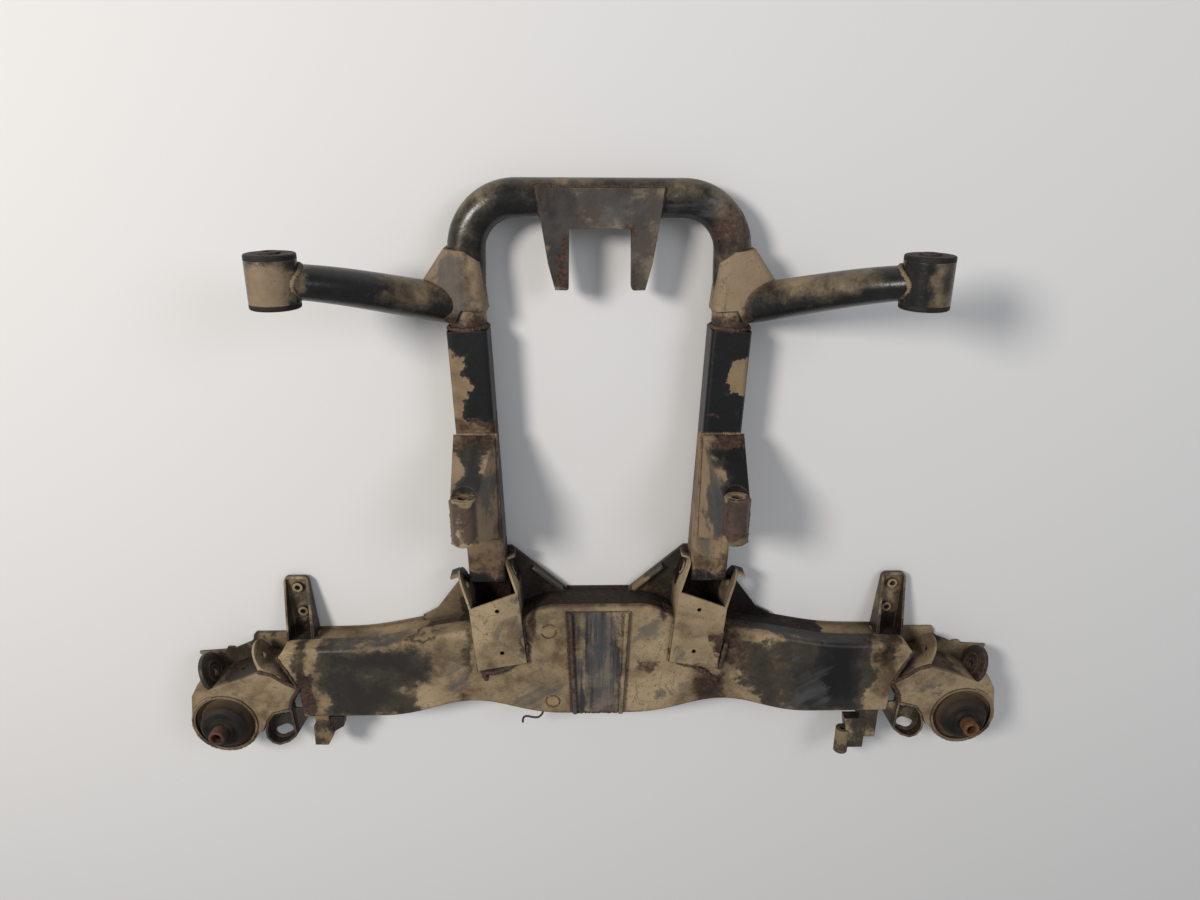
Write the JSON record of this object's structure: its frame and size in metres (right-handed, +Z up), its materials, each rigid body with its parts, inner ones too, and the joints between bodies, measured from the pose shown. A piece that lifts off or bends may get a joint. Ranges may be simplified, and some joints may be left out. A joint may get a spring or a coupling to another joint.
{
  "type": "rear axle beam",
  "caption": "Welded rear axle beam with a boxed cross member, a bent loop tube, raised arms and large rubber bushes, worn and muddy.",
  "frame": {"origin": "centre of the footprint at floor level, under the part as it lies", "axes": "+X along the beam to the right, +Y from the beam towards the loop, +Z up out of the face of the beam"},
  "size_m": [1.214, 0.852, 0.208],
  "materials": {
    "muddy_black_paint": "matt",
    "worn_black_paint": "satin",
    "rusted_steel": "rusted",
    "bush_rubber": "dusty"
  },
  "bodies": {
    "root": {"beam_back_shell": "muddy_black_paint", "beam_centre_plate": "muddy_black_paint", "beam_front_shell": "muddy_black_paint", "left_arm_bush_inner_sleeve": "rusted_steel", "left_arm_bush_rubber": "bush_rubber", "left_arm_collar": "worn_black_paint", "left_arm_sleeve": "worn_black_paint", "left_arm_tube": "worn_black_paint", "left_channel_bracket": "worn_black_paint", "left_channel_weld_nuts": "rusted_steel", "left_end_housing": "muddy_black_paint", "left_end_housing_back": "muddy_black_paint", "left_inner_gusset": "muddy_black_paint", "left_inner_pivot_bracket": "muddy_black_paint", "left_line_holder": "worn_black_paint", "left_loop_bracket": "worn_black_paint", "left_main_bush_cup": "worn_black_paint", "left_main_bush_pin": "rusted_steel", "left_main_bush_rubber": "bush_rubber", "left_outer_gusset": "muddy_black_paint", "left_outer_pivot_inner_ear": "muddy_black_paint", "left_outer_pivot_outer_ear": "muddy_black_paint", "left_rail_bracket": "worn_black_paint", "left_rail_bracket_sleeve": "rusted_steel", "left_side_rail": "worn_black_paint", "loop_saddle": "worn_black_paint", "loop_tube": "worn_black_paint", "right_arm_bush_inner_sleeve": "rusted_steel", "right_arm_bush_rubber": "bush_rubber", "right_arm_collar": "worn_black_paint", "right_arm_sleeve": "worn_black_paint", "right_arm_tube": "worn_black_paint", "right_channel_bracket": "worn_black_paint", "right_channel_weld_nuts": "rusted_steel", "right_end_housing": "muddy_black_paint", "right_end_housing_back": "muddy_black_paint", "right_inner_gusset": "muddy_black_paint", "right_inner_pivot_bracket": "muddy_black_paint", "right_line_holder": "worn_black_paint", "right_line_stub": "worn_black_paint", "right_loop_bracket": "worn_black_paint", "right_main_bush_cup": "worn_black_paint", "right_main_bush_pin": "rusted_steel", "right_main_bush_rubber": "bush_rubber", "right_outer_gusset": "muddy_black_paint", "right_outer_pivot_inner_ear": "muddy_black_paint", "right_outer_pivot_outer_ear": "muddy_black_paint", "right_rail_bracket": "worn_black_paint", "right_rail_bracket_sleeve": "rusted_steel", "right_side_rail": "worn_black_paint", "wire_hook": "rusted_steel"}
  },
  "joints": []
}
